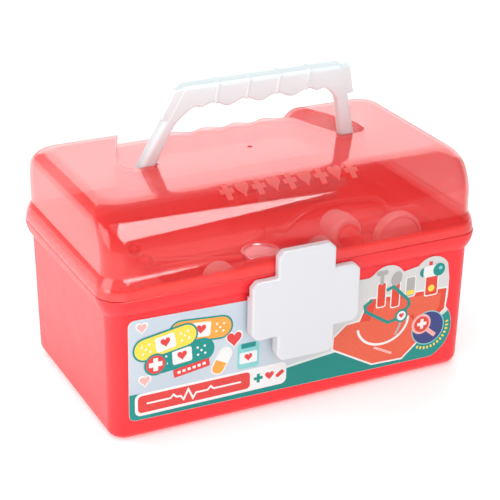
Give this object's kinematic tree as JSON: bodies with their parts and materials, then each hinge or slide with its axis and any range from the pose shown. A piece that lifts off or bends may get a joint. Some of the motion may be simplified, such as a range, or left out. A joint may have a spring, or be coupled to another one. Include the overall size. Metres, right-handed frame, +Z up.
{
  "type": "toy doctor case",
  "caption": "Hinged play case with an opaque red base, clear red lid, fold-down carry handle and cross latch, holding a tray of toy medical tools.",
  "frame": {"origin": "middle of the base's flat underside, under the closed case", "axes": "+X along the front to the right, +Y towards the hinges at the back, +Z up"},
  "size_m": [0.25, 0.1629, 0.1975],
  "materials": {
    "case_red": "satin opaque red polypropylene",
    "lid_clear_red": "clear red polystyrene, high gloss",
    "handle_white": "semi-gloss white",
    "latch_white": "gloss white",
    "label_paper": "printed vinyl sticker",
    "steel": "plain wire",
    "tool_red": "semi-gloss red",
    "tool_white": "semi-gloss white",
    "sticker_orange": "printed paper",
    "barrel_clear": "clear polystyrene",
    "mirror_silver": "vacuum-plated plastic"
  },
  "bodies": {
    "case": {"base_tub": "case_red", "front_label": "label_paper", "hinge_pin_left": "steel", "hinge_pin_right": "steel", "latch_pin": "steel", "tool_tray": "case_red", "thermometer_body": "tool_white", "thermometer_label": "sticker_orange", "hammer_handle": "tool_red", "hammer_head": "tool_white", "otoscope_head": "tool_white", "otoscope_cone": "tool_red", "otoscope_handle": "tool_red", "chest_piece": "tool_white", "stethoscope_headset": "tool_red", "ear_tip_left": "tool_red", "ear_tip_right": "tool_red", "stethoscope_stem": "tool_red", "mirror_disc": "mirror_silver", "mirror_handle": "tool_red", "syringe_barrel": "barrel_clear"},
    "lid": {"lid_shell": "lid_clear_red"},
    "handle": {"carry_handle": "handle_white"},
    "latch": {"latch_cross": "latch_white"},
    "plunger": {"syringe_plunger": "tool_red"},
    "button": {"chest_button": "tool_white"}
  },
  "joints": [
    {"name": "lid_hinge", "type": "hinge", "parent": "case", "child": "lid", "pos_m": [0, 0.0792, 0.0936], "axis": [-1, 0, 0], "range_deg": [0, 110]},
    {"name": "handle_hinge", "type": "hinge", "parent": "lid", "child": "handle", "pos_m": [0, 0.003, 0.137], "axis": [-1, 0, 0], "range_deg": [0, 109]},
    {"name": "latch_hinge", "type": "hinge", "parent": "case", "child": "latch", "pos_m": [0, -0.075, 0.042], "axis": [1, 0, 0], "range_deg": [0, 60]},
    {"name": "plunger_slide", "type": "slide", "parent": "case", "child": "plunger", "axis": [-1, 0, 0], "range_m": [0, 0.024]},
    {"name": "button_press", "type": "slide", "parent": "case", "child": "button", "axis": [0, 1, 0], "range_m": [0, 0.001]}
  ]
}
